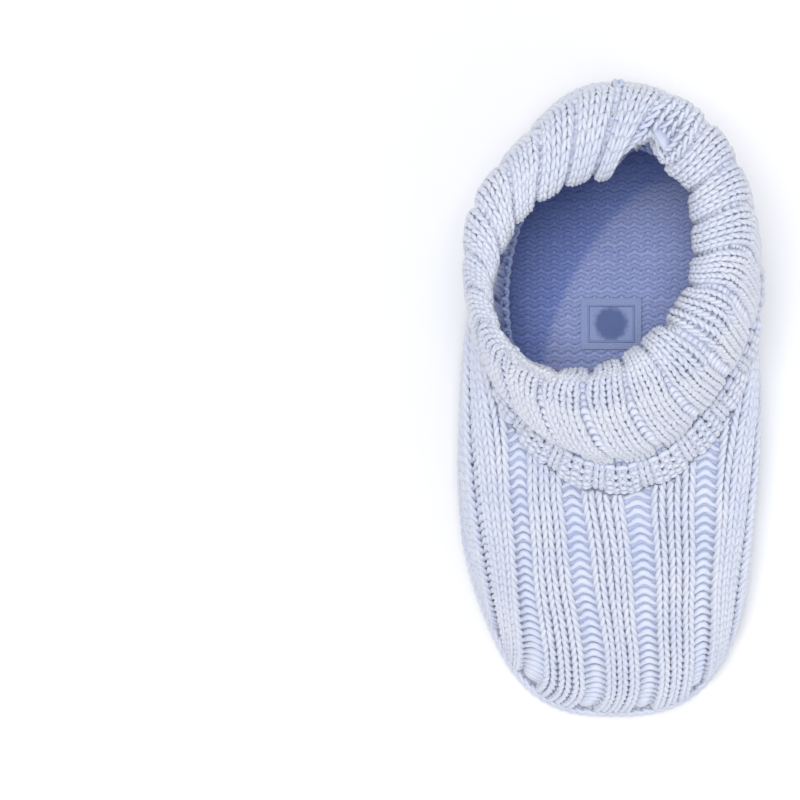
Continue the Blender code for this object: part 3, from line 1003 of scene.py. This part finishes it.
def plate(name, outline, height, thickness, look):
    # A flat closed plate inside an outline.
    mesh = bmesh.new()
    layers = []
    for z in (height - thickness / 2, height + thickness / 2):
        layers.append([mesh.verts.new(Vector((x, y, z)) * mm) for x, y in outline])
        mesh.faces.new(layers[-1])
    for i in range(len(outline)):
        mesh.faces.new((layers[0][i - 1], layers[0][i], layers[1][i], layers[1][i - 1]))
    return newSolid(name, mesh, look)


def soleRow(strand, edge):
    # One row of the sole's knitting, cut where it meets the edge.
    middle = footSway(strand[:, 1])
    right = edge[edge[:, 0] > footSway(edge[:, 1])]
    order = np.argsort(right[:, 1])
    half = np.interp(strand[:, 1], right[order, 1], right[order, 0], left=0, right=0) - middle
    return strand[np.abs(strand[:, 0] - middle) < half - sole["edgeGap"]]


reachX, reachY = np.meshgrid([-30.0, 30.0], [-60.0, 60.0])
soleFlat = np.stack([reachX, reachY, np.full((2, 2), sole["middle"])], axis=-1)
soleCloth = makeCloth("sole cloth", soleFlat, soleFlat[..., :2], np.tile((0.0, 0.0, -1.0), (2, 2, 1)))
wale, wales = sole["wale"], sole["wales"]
soleEdges, soleKinds = repeatWales(-wales * wale / 2, [(wale, knit)], wales)
soleRows = np.arange(soleBox[0][1], soleBox[1][1], sole["rowPitch"])
pitch, depth = sole["rowPitch"], sole["stitchDepth"]
soleStrands = knitCourses(soleEdges, soleKinds, soleRows, pitch, depth, lambda u, v: 0 * u)
soleOutline = evenly(soleEdge, np.linspace(0, 1, 361))
soleStrands = [soleRow(strand, soleOutline) for strand in soleStrands]
soleStrands = [cut for cut in soleStrands if len(cut) > sole["fewestPoints"]]
soleKnit = layYarn("sole_knitting", soleCloth, soleStrands, sole["yarnRadius"], insole)
coreOutline = soleOutline[:-1:2] * sole["coreShare"]
soleCore = plate("sole_core", coreOutline, sole["middle"], sole["coreThickness"], insole)
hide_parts("sole_knit")
for piece in (soleKnit, soleCore):
    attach(piece, "foot")
bpy.data.objects.remove(soleCloth)
print("sole knitted")


seam = {
    "link": 1.55,
    "width": 2.6,
    "narrow": 1.8,
    "yarnRadius": 0.33,
    "stitchDepth": 0.3,
    "soleOut": 0.5,
    "soleDrop": 0.15,
    "heelIn": 0.2,
    "cuffIn": 0.5,
}


def chain(name, node, path, outward, closed, body, look, width):
    # A ribbon that follows the line, and one loop of yarn for each link of the chain.
    steps = np.linalg.norm(np.diff(path, axis=0), axis=1)
    along = np.concatenate([[0], np.cumsum(steps)])
    tangent = np.gradient(path, axis=0)
    if closed:
        tangent[0] = tangent[-1] = path[1] - path[-2]
    tangent /= np.linalg.norm(tangent, axis=1, keepdims=True)
    sideways = np.cross(tangent, outward)
    sideways /= np.linalg.norm(sideways, axis=1, keepdims=True)
    facing = np.cross(sideways, tangent)
    across = np.linspace(-1.5, 1.5, 5)
    grid = path[None] + across[:, None, None] * sideways[None]
    flat = np.stack(np.meshgrid(along, across), axis=-1)
    ribbon = makeCloth(name + " ribbon", grid, flat, np.repeat(facing[None], 5, axis=0))
    count = round(along[-1] / seam["link"])
    link = along[-1] / count
    turn = np.linspace(-0.8 * np.pi, 0.8 * np.pi, 11)
    strands = []
    for k in range(count):
        x = (k + 0.5) * link + 0.85 * link * np.cos(turn)
        y = width * (turn + stitch["lean"] * np.sin(2 * turn)) / (2 * np.pi)
        strands.append(np.stack([x, y, -seam["stitchDepth"] * np.cos(2 * turn)], axis=1))
    made = layYarn(name, ribbon, strands, seam["yarnRadius"], look)
    bpy.data.objects.remove(ribbon)
    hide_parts(node)
    if body == "both":
        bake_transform(made, "foot", "cuff", bendStart, bendEnd)
    else:
        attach(made, body)


def seams():
    turns = np.linspace(0, 1, 241)
    edge = evenly(soleEdge, turns)
    out = outwardOf(edge)
    height = np.full(len(edge), soleTop - seam["soleDrop"])
    line = np.column_stack([edge + out * seam["soleOut"], height])
    facing = np.column_stack([out, np.full(len(out), 0.25)])
    chain("sole_seam_chain", "sole_seam", line, facing, True, "foot", yarn, seam["width"])

    width = seam["narrow"]
    back, away = surface[2:-1, 0], surfaceOut[2:-1, 0]
    line = back - away * seam["heelIn"]
    chain("heel_seam_chain", "heel_seam", line, away, False, "both", seamYarn, width)
    rows = slice(1, 16)
    back, away = cuffSurface[rows, 0], cuffOut[rows, 0]
    line = back - away * seam["cuffIn"]
    chain("cuff_seam_chain", "cuff_seam", line, away, False, "both", seamYarn, width)

    height, up, over, offset = cuff["lining"][-1]
    hem = cuffRing(height - 0.9, up, over, offset + 0.9, turns)
    down = np.tile((0.0, 0.0, -1.0), (len(hem), 1))
    chain("hem_seam_chain", "hem_seam", hem, down, True, "both", shadedHemYarn, width)


seams()
print("seams sewn")


finishes = {
    "elastic_thread_1": (elastic, "covered_elastic"),
    "elastic_thread_2": (elastic, "covered_elastic"),
    "elastic_thread_3": (elastic, "covered_elastic"),
    "size_label": (labelCloth, "woven_label"),
    "label_stitching": (labelThread, "seam_thread"),
}
for name, (look, _) in finishes.items():
    part = frame["nodes"][name]
    part.data.materials.clear()
    part.data.materials.append(look)


stageFloor = {"size": 6.0, "colour": (0.90, 0.90, 0.91, 1)}
lamps = {
    "overhead": {"power": 6.5, "size": 0.30, "place": (-0.10, 0.06, 1.1), "target": (0, 0, 0.03)},
    "bounce": {"power": 2.0, "size": 1.0, "place": (0.5, -0.75, 0.7), "target": (0, 0, 0.03)},
}
sky = {"colour": (0.97, 0.98, 1.0, 1), "strength": 0.62}


def makeFloor():
    bpy.ops.mesh.primitive_plane_add(size=stageFloor["size"], location=(0, 0, -0.0002))
    floor = bpy.context.object
    floor.name = "floor"
    shader = Shader("floor")
    floor.data.materials.append(shader.finish(Base_Color=stageFloor["colour"], Roughness=0.9))


def makeLamp(name, power, size, place, target):
    data = bpy.data.lights.new(name, "AREA")
    data.energy, data.size = power, size
    lamp = newObject(name, data)
    lamp.location = place
    lamp.rotation_euler = (Vector(target) - Vector(place)).to_track_quat("-Z", "Y").to_euler()


def makeWorld():
    world = bpy.data.worlds.new("studio")
    world.use_nodes = True
    background = world.node_tree.nodes["Background"]
    background.inputs["Color"].default_value = sky["colour"]
    background.inputs["Strength"].default_value = sky["strength"]
    scene.world = world


view = {"distance": 0.65, "scale": 6330.0, "side": 0.0338}


def makeCamera():
    data = bpy.data.cameras.new("camera")
    data.sensor_width = 36
    data.lens = view["scale"] * view["distance"] / 800 * 36
    data.clip_start, data.clip_end = 0.01, 20
    camera = newObject("camera", data)
    camera.location = (-view["side"], 0, view["distance"])
    camera.rotation_euler = (0, 0, 0)
    scene.camera = camera


makeFloor()
makeWorld()
for name, lamp in lamps.items():
    makeLamp(name, **lamp)
makeCamera()
